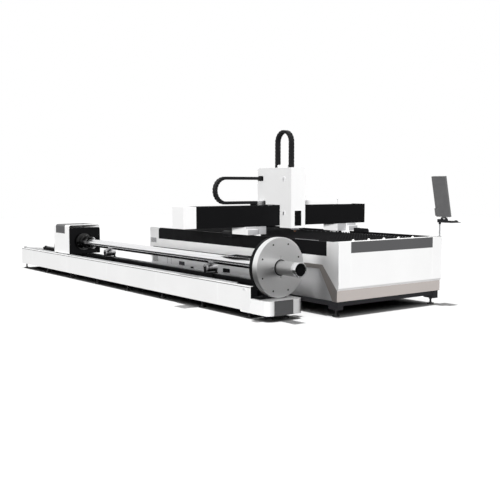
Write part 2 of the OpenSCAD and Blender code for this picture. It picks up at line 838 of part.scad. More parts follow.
// Carriages on the rails, with their bearing blocks; the head passes over their front edge
module gantry_carriages() {
  notch_y = front_y1 + 12;
  notch_z = head_z - 12;
  x0 = -carriage_out;
  y1 = carriage_y + carriage_l;
  color(white_paint) both_sides() {
    plate_yz(x0, x0 + carriage_face, [
      [carriage_y, carriage_z], [y1, carriage_z], [y1, beam_z], [notch_y, beam_z],
      [notch_y, notch_z], [carriage_y, notch_z]
    ]);
    span([x0 + carriage_face - 1, beam_y + carriage_set, carriage_z], [x0 + carriage_w, y1, beam_z]);
    for (y = [carriage_y + 10, y1 - 10 - block_l])
      difference() {
        span([rail_x - block_w / 2, y, rail_seat + 10], [rail_x + block_w / 2, y + block_l, carriage_z]);
        span([rail_x - rail_w / 2 - run_gap, y - 1, rail_seat],
             [rail_x + rail_w / 2 + run_gap, y + block_l + 1, rail_top + run_gap]);
      }
  }
}

// Drive motors: the right one in front of its carriage, the left one behind
module gantry_motors() {
  y1 = carriage_y + carriage_l;
  color(black_paint) {
    rod_y(motor_x, motor_z, motor_r, carriage_y - motor_l, carriage_y - 60);
    span([motor_x - motor_r, carriage_y - 60, motor_z - motor_r],
         [motor_x + motor_r, carriage_y, motor_z + motor_r]);
    rod_y(bed_w - motor_x, motor_z, motor_r, y1 + 60, y1 + motor_l);
    span([bed_w - motor_x - motor_r, y1, motor_z - motor_r],
         [bed_w - motor_x + motor_r, y1 + 60, motor_z + motor_r]);
  }
}

// Box beam across both beds, with the shelf for the traverse chain along its back
module gantry_beam() {
  color(black_paint) {
    span([black_x0, beam_y + cover_t, beam_z], [beam_x1 - cover_t, beam_y1, beam_seat]);
    span([black_x0, beam_y1 - 12, beam_seat - 1], [beam_x1 - cover_t, beam_y1, shelf_z + cover_t]);
    span([black_x0, beam_y1 - 1, shelf_z], [tray_x1, chain_y + tray_half, shelf_z + cover_t]);
    span([tray_x1 - panel_t, chain_y - tray_half, shelf_z],
         [tray_x1, chain_y - tray_half + 24, shelf_z + cover_t + tray_h + 8]);
    span([anchor_x0 - 95, chain_y - 36, shelf_z + cover_t - 1],
         [anchor_x0 - 6, chain_y + 36, chain_low - chain_h / 2 - run_gap]);
  }
}

// Black cover over the beam's front, its right end and the front edge of its top
module beam_cover() {
  color(black_paint) {
    span([black_x0, beam_y, beam_z], [beam_x1, beam_y + cover_t, beam_top]);
    span([black_x0, beam_y, beam_top - cover_t], [beam_x1, beam_y + 40, beam_top]);
    span([beam_x1 - cover_t, beam_y, beam_z], [beam_x1, beam_y1, beam_top]);
  }
}

// White cap on the beam's left end
module beam_end_cap() {
  color(white_paint) difference() {
    span([beam_x0, beam_y, beam_z], [black_x0, beam_y1, beam_top]);
    span([beam_x0 + panel_t, beam_y + panel_t, beam_z + panel_t],
         [black_x0 + 1, beam_y1 - panel_t, beam_top - panel_t]);
  }
}

// Linear rails along the beam's top, set down behind the cover's edge
module beam_rails() {
  color(steel)
    for (y = beam_rail_y)
      span([black_x0 + 10, y - 14, beam_seat], [beam_x1 - 40, y + 14, beam_rail_top]);
}

// White channel behind the beam on the right
module chain_tray() {
  floor_z = shelf_z + cover_t;
  end_x = tray_x1 - panel_t - run_gap;
  color(white_paint) {
    span([anchor_x1, chain_y - tray_half, floor_z], [end_x, chain_y + tray_half, floor_z + panel_t]);
    for (y = [chain_y - tray_half, chain_y + tray_half - panel_t])
      span([anchor_x1, y, floor_z], [end_x, y + panel_t, floor_z + tray_h]);
  }
}

// Gray block that anchors the traverse chain on the beam
module chain_anchor() {
  color(chuck_gray)
    span([anchor_x0, chain_y - 50, shelf_z + cover_t], [anchor_x1, chain_y + 50, chain_low + chain_h / 2]);
}

// Rounded side plate of a link along +X from the origin, in X and Z
module link_outline(pitch, h) {
  r = h * 0.22;
  translate([0, r - h / 2]) square([pitch, h - 2 * r]);
  translate([r, -h / 2]) square([pitch - 2 * r, h]);
  for (x = [r, pitch - r])
    for (z = [r - h / 2, h / 2 - r])
      translate([x, z]) circle(r, $fn = 24);
}

// One chain link along +X from the origin: round-ended side plates with a pivot boss, and lids
module chain_link(pitch, w, h) {
  plate = 9;
  lid = 6;
  boss = 2;
  for (y = [-w / 2, w / 2 - plate])
    along_y(y, y + plate) link_outline(pitch, h);
  along_y(-w / 2 - boss, w / 2 + boss) translate([h * 0.34, 0]) circle(h * 0.17, $fn = 24);
  for (z = [-h / 2 + 1, h / 2 - 1 - lid])
    translate([pitch * 0.16, plate / 2 - w / 2, z]) cube([pitch * 0.68, w - plate, lid]);
}

// Straight run of links along +X, from x0 to x1, at one height
module chain_run(x0, x1, z, pitch) {
  count = floor((x1 - x0) / pitch);
  real_pitch = (x1 - x0) / count;
  for (i = [0 : count - 1])
    translate([x0 + i * real_pitch, chain_y, z]) {
      chain_link(real_pitch - link_gap, chain_w, chain_h);
      translate([0, -chain_w / 2 + 3, -chain_h / 2 + 5]) cube([real_pitch, chain_w - 6, chain_h - 10]);
    }
}

// Links round a quarter bend in the XZ plane, from angle a0 to a1 about the bend's centre
module chain_quarter(a0, a1) {
  count = 6;
  step = (a1 - a0) / count;
  length = 2 * chain_r * tan(step / 2);
  for (i = [0 : count - 1])
    translate([chain_cx, chain_y, chain_mid]) rotate([0, -(a0 + (i + 0.5) * step), 0])
      translate([chain_r, 0, 0]) rotate([0, -90, 0]) translate([-length / 2 + link_gap, 0, 0])
        chain_link(length - 2 * link_gap, chain_w, chain_h);
}

// Solid band inside a bend, cut to one quarter
module chain_band(a0) {
  translate([chain_cx, chain_y + chain_w / 2 - 3, chain_mid]) rotate([90, 0, 0])
    rotate([0, 0, a0]) rotate_extrude(angle = 90)
      translate([chain_r - chain_h / 2 + 5, 0]) square([chain_h - 10, chain_w - 6]);
}

// Lower straight run of the traverse chain, from the bend to the anchor
module chain_lower_run() {
  color(black_paint) chain_run(chain_cx + run_gap, anchor_x0, chain_low, chain_pitch);
}

// Lower half of the traverse chain's bend
module chain_bend_lower() {
  color(black_paint) intersection() {
    union() {
      chain_quarter(180, 270);
      chain_band(180);
    }
    span([chain_cx - 2 * chain_r, chain_y - chain_w, chain_low - chain_h],
         [chain_cx - run_gap, chain_y + chain_w, chain_mid - run_gap / 2]);
  }
}

// Upper half of the traverse chain's bend
module chain_bend_upper() {
  color(black_paint) intersection() {
    union() {
      chain_quarter(90, 180);
      chain_band(90);
    }
    span([chain_cx - 2 * chain_r, chain_y - chain_w, chain_mid + run_gap / 2],
         [chain_cx - run_gap, chain_y + chain_w, chain_high + chain_h]);
  }
}

// Saddle over the beam with its bearing blocks and the lift's back plate
module head_saddle() {
  side = panel_t + run_gap;
  saddle_y1 = beam_rail_y[1] + 50;
  color(steel) {
    span([head_x0 + side, back_plate_y, saddle_z], [head_x1 - side, saddle_y1, saddle_z + saddle_t]);
    span([head_x - 90, back_plate_y, head_z + 40], [head_x + 90, back_plate_y + 18, saddle_z + saddle_t]);
    for (y = beam_rail_y)
      for (x = [head_x0 + 20, head_x1 - 110])
        difference() {
          span([x, y - 38, beam_seat + 8], [x + 90, y + 38, saddle_z]);
          span([x - 1, y - 14 - run_gap, beam_seat], [x + 91, y + 14 + run_gap, beam_rail_top + run_gap]);
        }
  }
}

// Outline of the head housing seen from the side, drawn in by a wall, as [y, z]
function housing_outline(wall, open) = [
  [head_y0 + wall, head_z - open], [front_y1 - wall, head_z - open],
  [front_y1 - wall, over_beam_z - open], [beam_y1 + 39, over_beam_z - open],
  [beam_y1 + 39, over_chain_z - open], [head_y1 - wall, over_chain_z - open],
  for (a = [0 : 15 : 90]) [
    head_y1 - head_r + (head_r - wall) * cos(a), head_top - head_r + (head_r - wall) * sin(a)
  ],
  [head_y0 + wall, head_top - wall]
];

// White housing of the cutting head, open underneath
module head_housing() {
  color(white_paint) difference() {
    plate_yz(head_x0, head_x1, housing_outline(0, 0));
    plate_yz(head_x0 + panel_t, head_x1 - panel_t, housing_outline(panel_t, 1));
    span([head_x - lift_chain_w / 2 - 6, lift_y0 - lift_chain_h / 2 - 6, head_top - panel_t - 1],
         [head_x + lift_chain_w / 2 + 6, lift_y0 + lift_chain_h / 2 + 6, head_top + 1]);
  }
  color(white_paint)
    span([head_x - 55, lift_y0 + 110, head_top - 1], [head_x + 55, lift_y1 - 60, head_top + 48]);
}

// Black window on the housing's front
module head_window() {
  color(black_paint)
    span([head_x - 75, head_y0 - 3, head_z + 37], [head_x + 63, head_y0, head_z + 280]);
}

// Two small latches on the housing's left side, and the socket on its top
module head_latches() {
  color(chuck_gray) {
    for (z = [head_z + 237, head_top - 184])
      difference() {
        span([head_x0 - 5, head_y0 + 176, z - 24], [head_x0, head_y0 + 204, z + 24]);
        span([head_x0 - 6, head_y0 + 184, z - 14], [head_x0 - 2, head_y0 + 196, z + 14]);
      }
    translate([head_x, lift_y0 + 80, head_top]) {
      cylinder(r = 22, h = 30);
      cylinder(r = 15, h = 48);
    }
  }
}

// Black bracket that holds the traverse chain on the housing
module chain_bracket() {
  color(black_paint)
    span([head_x0 - bracket_l, chain_y - 50, chain_high - 40], [head_x0, chain_y + 50, chain_high + 40]);
}

// Upper straight run of the traverse chain, from the bend to the head
module chain_upper_run() {
  color(black_paint) chain_run(chain_cx + run_gap, head_x0 - bracket_l, chain_high, chain_pitch);
}

// Links of the lift chain up one leg at distance y, from z0 to the bend
module lift_leg(y, z0) {
  count = floor((lift_cz - z0) / chain_pitch);
  pitch = (lift_cz - z0) / count;
  for (i = [0 : count - 1])
    translate([head_x, y, z0 + i * pitch]) rotate([0, 0, 90]) rotate([0, -90, 0]) {
      chain_link(pitch - link_gap, lift_chain_w, lift_chain_h);
      translate([0, -lift_chain_w / 2 + 3, -lift_chain_h / 2 + 4])
        cube([pitch, lift_chain_w - 6, lift_chain_h - 8]);
    }
}

// Cable chain that rises from the housing in a tall loop
module lift_chain() {
  links = 10;
  step = 180 / links;
  length = 2 * lift_chain_r * tan(step / 2);
  color(black_paint) {
    lift_leg(lift_y0, head_top - 150);
    lift_leg(lift_y1, head_top + run_gap);
    for (i = [0 : links - 1])
      translate([head_x, lift_mid, lift_cz]) rotate([(i + 0.5) * step, 0, 0])
        translate([0, lift_chain_r, 0]) rotate([0, 0, 90]) rotate([0, -90, 0])
          translate([-length / 2 + link_gap, 0, 0])
            chain_link(length - 2 * link_gap, lift_chain_w, lift_chain_h);
    translate([head_x - lift_chain_w / 2 + 3, lift_mid, lift_cz]) rotate([90, 0, 90])
      rotate_extrude(angle = 180)
        translate([lift_chain_r - lift_chain_h / 2 + 4, 0]) square([lift_chain_h - 8, lift_chain_w - 6]);
  }
}

// Cutting head on its slide plate
module laser_head() {
  body_w = 100;
  plate_y = back_plate_y - 26;
  body_z = nozzle_z + 44;
  color(chuck_gray) {
    span([head_x - body_w / 2, nozzle_y - 45, body_z], [head_x + body_w / 2, nozzle_y + 45, body_z + 330]);
    span([head_x - 35, nozzle_y + 44, body_z + 120], [head_x + 35, plate_y + 1, body_z + 300]);
    span([head_x - 80, plate_y, body_z + 60], [head_x + 80, back_plate_y - run_gap, body_z + 380]);
    translate([head_x, nozzle_y, body_z - 20]) cylinder(r1 = 24, r2 = 38, h = 21);
    translate([head_x, nozzle_y, body_z + 329]) cylinder(r = 20, h = 60);
  }
}

// Copper nozzle under the cutting head
module nozzle() {
  color(copper) translate([head_x, nozzle_y, nozzle_z]) {
    cylinder(r1 = 5, r2 = 14, h = 16);
    translate([0, 0, 16]) cylinder(r = 20, h = 8);
  }
}

// Gray disc of the front chuck with its bearing hub
module chuck_disc() {
  slots = 4;
  chamfer = 4;
  color(chuck_gray) difference() {
    union() {
      translate([tube_cx, disc_y, axis_z]) rotate([-90, 0, 0]) rotate_extrude($fn = 96)
        polygon([[0, 0], [disc_r - chamfer, 0], [disc_r, chamfer], [disc_r, disc_t], [0, disc_t]]);
      rod_y(tube_cx, axis_z, hub_r, disc_y1 - 1, stand_y0 + stand_t);
    }
    rod_y(tube_cx, axis_z, bore_r, disc_y - 1, stand_y0 + stand_t + 1);
    for (i = [0 : slots - 1])
      translate([tube_cx, disc_y, axis_z]) rotate([0, i * 360 / slots, 0])
        span([-14, -1, nose_r + 4], [14, 24, nose_r + 56]);
  }
}

// Guide nose in front of the disc, with a flange and a polished end ring
module guide_nose() {
  ring_r = nose_r + 3;
  ring_l = 26;
  color(chuck_gray) difference() {
    union() {
      rod_y(tube_cx, axis_z, nose_r, nose_y, disc_y);
      rod_y(tube_cx, axis_z, ring_r, nose_y, nose_y + ring_l);
    }
    rod_y(tube_cx, axis_z, bore_r, nose_y - 1, disc_y + 1);
  }
}

// Base of the rear carriage with its bearing blocks, spindle bearing and rear gusset
module rear_carriage() {
  base_z = tube_rail_top + 28;
  block = 100;
  bearing_y0 = rear_y + bearing_in;
  bearing_y1 = bearing_y0 + bearing_l;
  half = 150;
  split_z = axis_z - shaft_r - 40;
  rear_end = rear_y + rear_l;
  color(dark_gray) {
    span([rear_x0 + shelf_w, rear_y + face_t + 6, base_z], [tube_x1 - 20, rear_end - 6, base_z + 20]);
    for (y = [rear_y + 60, rear_end - 60 - block])
      both_tube_sides() difference() {
        span([tube_x0 + tube_rail_x - 16, y, tube_beam_top + 10],
             [tube_x0 + tube_rail_x + 34, y + block, base_z]);
        span([tube_x0 + tube_rail_x - 12 - run_gap, y - 1, tube_beam_top],
             [tube_x0 + tube_rail_x + 12 + run_gap, y + block + 1, tube_rail_top + run_gap]);
      }
    span([tube_cx - half, bearing_y0, base_z + 20], [tube_cx + half, bearing_y1, split_z]);
    difference() {
      span([tube_cx - half, bearing_y0, split_z - 1], [tube_cx + half, bearing_y1, axis_z + half]);
      rod_y(tube_cx, axis_z, shaft_r + run_gap, bearing_y0 - 1, bearing_y1 + 1);
    }
    plate_yz(rear_x0 + 6, rear_x0 + 18, [
      [rear_end, rear_z + 6], [rear_end + 55, rear_z + 6], [rear_end + 55, rear_z + 26],
      [rear_end + 14, rear_z + 190], [rear_end, rear_z + 190]
    ]);
  }
}

// White housing of the rear carriage with round top corners, open underneath
module rear_housing() {
  base_z = tube_rail_top + 28;
  y0 = rear_y + face_t;
  y1 = rear_y + rear_l;
  color(white_paint) {
    difference() {
      along_y(y0, y1) round_top(rear_x0, rear_x1, rear_z, rear_top, rear_r);
      along_y(y0 - 1, y1 - panel_t)
        round_top(rear_x0 + panel_t, rear_x1 - panel_t, rear_z - 1, rear_top - panel_t, rear_r - panel_t);
    }
    span([rear_x0 + panel_t - 1, y0 + 6, base_z], [rear_x0 + shelf_w, y1 - 6, base_z + 20]);
  }
}

// Black front face of the rear carriage, bored for the spindle, and the dark band over its housing
module rear_face() {
  band_y1 = rear_y + rear_l - band_in;
  color(black_paint) {
    difference() {
      along_y(rear_y, rear_y + face_t) round_top(rear_x0, rear_x1, rear_z, rear_top - 53, rear_r);
      rod_y(tube_cx, axis_z, shaft_r + 4, rear_y - 1, rear_y + face_t + 1);
    }
    difference() {
      along_y(band_y1 - band_l, band_y1)
        round_top(rear_x0 - band_t, rear_x1 + band_t, rear_top - band_h, rear_top + band_t, rear_r + band_t);
      along_y(band_y1 - band_l - 1, band_y1 + 1)
        round_top(rear_x0 - run_gap, rear_x1 + run_gap, rear_top - band_h - 1, rear_top + run_gap,
                  rear_r + run_gap);
    }
  }
}

// Rear chuck with stepped body, spindle shaft and slots for the jaws
module rear_chuck() {
  step_l = rear_chuck_l / 4;
  slot_w = 40;
  front = rear_y - rear_chuck_l;
  color(chuck_gray) difference() {
    union() {
      rod_y(tube_cx, axis_z, flange_r, rear_y - step_l, rear_y - 6);
      rod_y(tube_cx, axis_z, flange_r - 30, rear_y - 2 * step_l, rear_y - step_l + 1);
      rod_y(tube_cx, axis_z, flange_r - 50, front, rear_y - 2 * step_l + 1);
      rod_y(tube_cx, axis_z, shaft_r, rear_y - 7, rear_y + bearing_in + bearing_l);
    }
    rod_y(tube_cx, axis_z, tube_r + 14, front - 1, front + chuck_bore_l);
    for (a = [0, 90])
      translate([tube_cx, front, axis_z]) rotate([0, a, 0])
        span([-slot_w / 2, -1, -flange_r], [slot_w / 2, 70, flange_r]);
  }
}

// One chuck jaw, turned about the tube's axis
module jaw(turn) {
  slot_w = 40;
  tail = 69;
  grip = tube_r + run_gap;
  color(steel) translate([tube_cx, jaw_y0, axis_z]) rotate([0, turn, 0]) {
    span([-slot_w / 2 + run_gap, 20, grip + 16], [slot_w / 2 - run_gap, jaw_l + tail, flange_r - 54]);
    span([-slot_w / 2 + run_gap, 0, grip], [slot_w / 2 - run_gap, 60, flange_r - 70]);
  }
}

// Jaws around the tube
module jaw_1() {
  jaw(0);
}
module jaw_2() {
  jaw(90);
}
module jaw_3() {
  jaw(180);
}
module jaw_4() {
  jaw(270);
}

// Round tube held in both chucks
module work_tube() {
  wall = 6;
  end = rear_y - rear_chuck_l + chuck_bore_l - 10;
  color(steel) difference() {
    rod_y(tube_cx, axis_z, tube_r, tube_end, end);
    rod_y(tube_cx, axis_z, tube_r - wall, tube_end - 1, end + 1);
  }
}

// Lifting post of a support, with yoke and axle
module support_post(y) {
  cheek = 12;
  half = roller_l / 2 + run_gap;
  color(black_paint) {
    translate([tube_cx, y, guide_top - 60]) cylinder(r = 40, h = yoke_z - guide_top + 61);
    span([tube_cx - half - cheek, y - 40, yoke_z], [tube_cx + half + cheek, y + 40, yoke_z + 16]);
    for (x = [tube_cx - half - cheek, tube_cx + half])
      span([x, y - 18, yoke_z], [x + cheek, y + 18, roller_z + 18]);
    rod_x(y, roller_z, axle_r, tube_cx - half - 1, tube_cx + half + 1);
  }
}
module support_post_1() {
  support_post(support_y0);
}
module support_post_2() {
  support_post(support_y1);
}

// Roller of a support, with a wide shallow waist
module support_roller(y) {
  color(chuck_gray) translate([tube_cx - roller_l / 2, y, roller_z]) rotate([0, 90, 0])
    rotate_extrude() polygon([
      [axle_r + run_gap, 0], [roller_r - 6, 0], [roller_r, 6], [roller_r, roller_l - 6],
      [roller_r - 6, roller_l], [axle_r + run_gap, roller_l]
    ]);
}
module support_roller_1() {
  support_roller(support_y0);
}
module support_roller_2() {
  support_roller(support_y1);
}

at_origin() bed_frame();
at_origin() bed_plinth();
at_origin() levelling_feet();
at_origin() front_panel();
at_origin() front_strip();
at_origin() lower_trim();
at_origin() side_panels();
at_origin() side_insets();
at_origin() rear_panel();
at_origin() rail_guards();
at_origin() bed_rails();
at_origin() slat_ledges();
at_origin() slats();
at_origin() ball_rollers();
at_origin() console_post();
at_origin() tube_bed_frame();
at_origin() tube_bed_panels();
at_origin() end_box();
at_origin() end_plate();
at_origin() tube_bed_rails();
at_origin() chuck_stand();
at_origin() support_bases();
at_origin() gantry_carriages();
at_origin() gantry_motors();
at_origin() gantry_beam();
at_origin() beam_cover();
at_origin() beam_end_cap();
at_origin() beam_rails();
at_origin() chain_tray();
at_origin() chain_anchor();
at_origin() chain_lower_run();
at_origin() chain_bend_lower();
at_origin() chain_bend_upper();
at_origin() head_saddle();
at_origin() head_housing();
at_origin() head_window();
at_origin() head_latches();
at_origin() chain_bracket();
at_origin() chain_upper_run();
at_origin() lift_chain();
at_origin() laser_head();
at_origin() nozzle();
at_origin() chuck_disc();
at_origin() guide_nose();
at_origin() rear_carriage();
at_origin() rear_housing();
at_origin() rear_face();
at_origin() rear_chuck();
at_origin() jaw_1();
at_origin() jaw_2();
at_origin() jaw_3();
at_origin() jaw_4();
at_origin() work_tube();
at_origin() support_post_1();
at_origin() support_post_2();
at_origin() support_roller_1();
at_origin() support_roller_2();
at_origin() keyboard_tray();
at_origin() keyboard_set();
at_origin() monitor();
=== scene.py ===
import json
import math

import bmesh
import bpy
from mathutils import Matrix, Vector

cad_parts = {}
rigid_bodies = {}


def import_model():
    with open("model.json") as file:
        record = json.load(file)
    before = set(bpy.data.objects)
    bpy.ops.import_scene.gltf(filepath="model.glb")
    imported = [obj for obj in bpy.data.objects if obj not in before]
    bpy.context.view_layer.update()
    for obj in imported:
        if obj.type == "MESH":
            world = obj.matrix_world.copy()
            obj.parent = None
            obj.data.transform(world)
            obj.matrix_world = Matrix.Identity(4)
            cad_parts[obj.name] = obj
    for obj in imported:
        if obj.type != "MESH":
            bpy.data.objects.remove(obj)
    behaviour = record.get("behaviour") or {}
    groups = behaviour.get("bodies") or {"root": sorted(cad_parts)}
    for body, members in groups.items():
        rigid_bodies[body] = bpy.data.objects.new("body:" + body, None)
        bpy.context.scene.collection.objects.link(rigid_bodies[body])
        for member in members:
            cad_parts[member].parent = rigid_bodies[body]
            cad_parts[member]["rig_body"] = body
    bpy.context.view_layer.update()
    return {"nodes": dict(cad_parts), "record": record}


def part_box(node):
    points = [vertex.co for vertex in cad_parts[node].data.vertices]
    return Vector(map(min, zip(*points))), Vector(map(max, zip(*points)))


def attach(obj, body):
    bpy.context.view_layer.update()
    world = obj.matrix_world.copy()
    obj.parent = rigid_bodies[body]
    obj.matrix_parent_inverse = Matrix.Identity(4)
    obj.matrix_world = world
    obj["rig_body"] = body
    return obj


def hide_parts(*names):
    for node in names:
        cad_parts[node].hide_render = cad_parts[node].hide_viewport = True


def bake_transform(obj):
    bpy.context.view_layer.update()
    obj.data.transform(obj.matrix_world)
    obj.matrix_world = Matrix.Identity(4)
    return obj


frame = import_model()
nodes = frame["nodes"]
slotOf = {part["node"]: part["material_slot"] for part in frame["record"]["subparts"]}
print("frame loaded:", len(nodes), "nodes")

# Camera, from the photograph's perspective, placed from the front panel's lower left corner
cameraSetup = {
    "fromCorner": (-7.4917, -7.9326),
    "height": 1.848,
    "turnRight": 36.83,   # degrees away from +Y
    "lookDown": 4.68,
    "focalPixels": 780.9,
    "imagePixels": 500,
    "sensor": 36.0,
    "farthest": 200,
}
lens = bpy.data.cameras.new("photoCamera")
lens.sensor_fit = "HORIZONTAL"
lens.sensor_width = cameraSetup["sensor"]
lens.lens = cameraSetup["focalPixels"] / cameraSetup["imagePixels"] * cameraSetup["sensor"]
lens.clip_end = cameraSetup["farthest"]
camera = bpy.data.objects.new("photoCamera", lens)
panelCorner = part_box("front_panel")[0]
camera.location = (
    panelCorner.x + cameraSetup["fromCorner"][0], panelCorner.y + cameraSetup["fromCorner"][1],
    cameraSetup["height"])
camera.rotation_euler = (
    math.radians(90 - cameraSetup["lookDown"]), 0, math.radians(-cameraSetup["turnRight"]))
bpy.context.scene.collection.objects.link(camera)
bpy.context.scene.camera = camera
bpy.context.scene.view_settings.view_transform = "Standard"
print("camera placed")

# Studio: white surroundings, one lamp overhead, and fills from the front, the left and behind
studio = {
    "sky": {"lowest": 0.2, "zenith": 0.55},   # the glow starts at the lowest rise of a ray
    "overhead": {"strength": 2.6, "angle": 2, "lean": (0, 0)},
    "fills": {
        "mainFill": {
            "strength": 4.25, "angle": 8, "height": 7, "side": 43,
            "without": ["side_panels", "side_insets", "lower_trim", "end_box", "head_housing"]},
        "headFill": {
            "strength": 4.0, "angle": 8, "height": 7, "side": 38, "only": ["head_housing"]},
        "trimFill": {
            "strength": 4.35, "angle": 8, "height": 7, "side": 7,
            "only": ["side_panels", "lower_trim"]},
        "panelFill": {
            "strength": 2.5, "angle": 40, "height": 6, "side": 112,
            "only": ["side_panels", "side_insets"]},
        "boxFill": {"strength": 3.5, "angle": 8, "height": 7, "side": 63, "only": ["end_box"]},
        "backFill": {"strength": 2.6, "angle": 12, "height": 5, "side": 228, "without": []},
    },
    "floor": {"size": 60, "seen": 0.93, "bounced": 0.06, "roughness": 0.9},
}
white = (1, 1, 1, 1)


def cameraOrMirror(tree):
    path = tree.nodes.new("ShaderNodeLightPath")
    total = path.outputs["Is Camera Ray"]
    for name in ("Is Glossy Ray", "Is Transmission Ray"):
        either = tree.nodes.new("ShaderNodeMath")
        either.operation = "MAXIMUM"
        tree.links.new(total, either.inputs[0])
        tree.links.new(path.outputs[name], either.inputs[1])
        total = either.outputs[0]
    return total


def risingValue(tree, source, low, high, start=0.0, end=1.0):
    spread = tree.nodes.new("ShaderNodeMapRange")
    spread.inputs["From Min"].default_value = start
    spread.inputs["From Max"].default_value = end
    spread.inputs["To Min"].default_value = low
    spread.inputs["To Max"].default_value = high
    tree.links.new(source, spread.inputs["Value"])
    return spread.outputs["Result"]


def addSun(name, strength, angle, turn):
    lamp = bpy.data.lights.new(name, "SUN")
    lamp.energy = strength
    lamp.angle = math.radians(angle)
    sun = bpy.data.objects.new(name, lamp)
    sun.rotation_euler = [math.radians(degrees) for degrees in turn]
    sun.visible_glossy = False   # metal mirrors the surroundings and no lamp
    bpy.context.scene.collection.objects.link(sun)


def addSurroundings(sky):
    world = bpy.data.worlds.new("studio")
    bpy.context.scene.world = world
    world.use_nodes = True
    tree = world.node_tree
    glow = tree.nodes["Background"]
    glow.inputs["Color"].default_value = white
    direction = tree.nodes.new("ShaderNodeTexCoord")
    height = tree.nodes.new("ShaderNodeSeparateXYZ")
    tree.links.new(direction.outputs["Generated"], height.inputs[0])
    rise = risingValue(tree, height.outputs["Z"], 0.0, sky["zenith"], sky["lowest"])
    tree.links.new(rise, glow.inputs["Strength"])
    backdrop = tree.nodes.new("ShaderNodeBackground")
    backdrop.inputs["Color"].default_value = white
    backdrop.inputs["Strength"].default_value = 1
    choose = tree.nodes.new("ShaderNodeMixShader")
    tree.links.new(cameraOrMirror(tree), choose.inputs["Fac"])
    tree.links.new(glow.outputs[0], choose.inputs[1])
    tree.links.new(backdrop.outputs[0], choose.inputs[2])
    tree.links.new(choose.outputs[0], tree.nodes["World Output"].inputs["Surface"])


def layFloor(setup):
    shape = bmesh.new()
    bmesh.ops.create_grid(shape, x_segments=1, y_segments=1, size=setup["size"] / 2)
    mesh = bpy.data.meshes.new("studioFloor")
    shape.to_mesh(mesh)
    shape.free()
    floor = bpy.data.objects.new("studioFloor", mesh)
    bpy.context.scene.collection.objects.link(floor)
    paint = bpy.data.materials.new("floorPaint")
    paint.use_nodes = True
    tree = paint.node_tree
    coat = tree.nodes["Principled BSDF"]
    path = tree.nodes.new("ShaderNodeLightPath")
    gray = risingValue(tree, path.outputs["Is Camera Ray"], setup["bounced"], setup["seen"])
    tree.links.new(gray, coat.inputs["Base Color"])
    coat.inputs["Roughness"].default_value = setup["roughness"]
    coat.inputs["Specular IOR Level"].default_value = 0.0
    mesh.materials.append(paint)


def buildStudio():
    addSurroundings(studio["sky"])
    top = studio["overhead"]
    addSun("overheadLamp", top["strength"], top["angle"], (*top["lean"], 0))
    for name, fill in studio["fills"].items():
        addSun(name, fill["strength"], fill["angle"], (90 - fill["height"], 0, -fill["side"]))
    layFloor(studio["floor"])


buildStudio()
print("studio built")

# Finishes: each reads Object coordinates, so nothing slides when a body moves
middleOfNoise = (0.3, 0.7)   # most of a noise's values lie between these


def startFinish(name, metallic, specular):
    finish = bpy.data.materials.new(name)
    finish.use_nodes = True
    tree = finish.node_tree
    shader = tree.nodes["Principled BSDF"]
    shader.inputs["Metallic"].default_value = metallic
    shader.inputs["Specular IOR Level"].default_value = specular
    return finish, tree, shader


def placedCoords(tree, stretch=(1, 1, 1), centre=(0, 0, 0)):
    coords = tree.nodes.new("ShaderNodeTexCoord")
    mapping = tree.nodes.new("ShaderNodeMapping")
    mapping.inputs["Scale"].default_value = stretch
    mapping.inputs["Location"].default_value = [-place for place in centre]
    tree.links.new(coords.outputs["Object"], mapping.inputs["Vector"])
    return mapping.outputs["Vector"]


def grain(tree, scale, detail=3.0, stretch=(1, 1, 1)):
    noise = tree.nodes.new("ShaderNodeTexNoise")
    noise.inputs["Scale"].default_value = scale
    noise.inputs["Detail"].default_value = detail
    tree.links.new(placedCoords(tree, stretch), noise.inputs["Vector"])
    return noise.outputs["Fac"]


def tint(tree, shader, fac, color, darkest, spread=middleOfNoise):
    ramp = tree.nodes.new("ShaderNodeValToRGB")
    for stop, position, factor in zip(ramp.color_ramp.elements, spread, (darkest, 1)):
        stop.position = position
        stop.color = (*(channel * factor for channel in color), 1)
    tree.links.new(fac, ramp.inputs["Fac"])
    tree.links.new(ramp.outputs["Color"], shader.inputs["Base Color"])


def gloss(tree, shader, fac, smooth, rough):
    spread = risingValue(tree, fac, smooth, rough, *middleOfNoise)
    tree.links.new(spread, shader.inputs["Roughness"])


def relief(tree, shader, fac, strength, depth):
    bump = tree.nodes.new("ShaderNodeBump")
    bump.inputs["Strength"].default_value = strength
    bump.inputs["Distance"].default_value = depth
    tree.links.new(fac, bump.inputs["Height"])
    tree.links.new(bump.outputs["Normal"], shader.inputs["Normal"])


coatLook = {
    "patches": 1.7, "darkest": 0.965, "sheen": 6, "peel": 420, "strength": 0.10, "depth": 0.0006,
}


def powderCoat(name, color, smooth=0.34, rough=0.46, specular=0.35):
    finish, tree, shader = startFinish(name, 0.0, specular)
    tint(tree, shader, grain(tree, coatLook["patches"], 4), color, coatLook["darkest"])
    gloss(tree, shader, grain(tree, coatLook["sheen"]), smooth, rough)
    orangePeel = grain(tree, coatLook["peel"], 2)
    relief(tree, shader, orangePeel, coatLook["strength"], coatLook["depth"])
    return finish


brushLook = {"lines": 90, "darkest": 0.86, "strength": 0.08, "depth": 0.0003}


def brushedMetal(name, color, stretch, smooth=0.22, rough=0.38):
    finish, tree, shader = startFinish(name, 1.0, 0.5)
    lines = grain(tree, brushLook["lines"], 3, stretch)
    tint(tree, shader, lines, color, brushLook["darkest"])
    gloss(tree, shader, lines, smooth, rough)
    relief(tree, shader, lines, brushLook["strength"], brushLook["depth"])
    return finish


latheLook = {
    "rings": 55, "waver": 1.2, "detail": 3, "darkest": 0.93, "spread": (0.1, 0.9),
    "strength": 0.03, "depth": 0.0002,
}


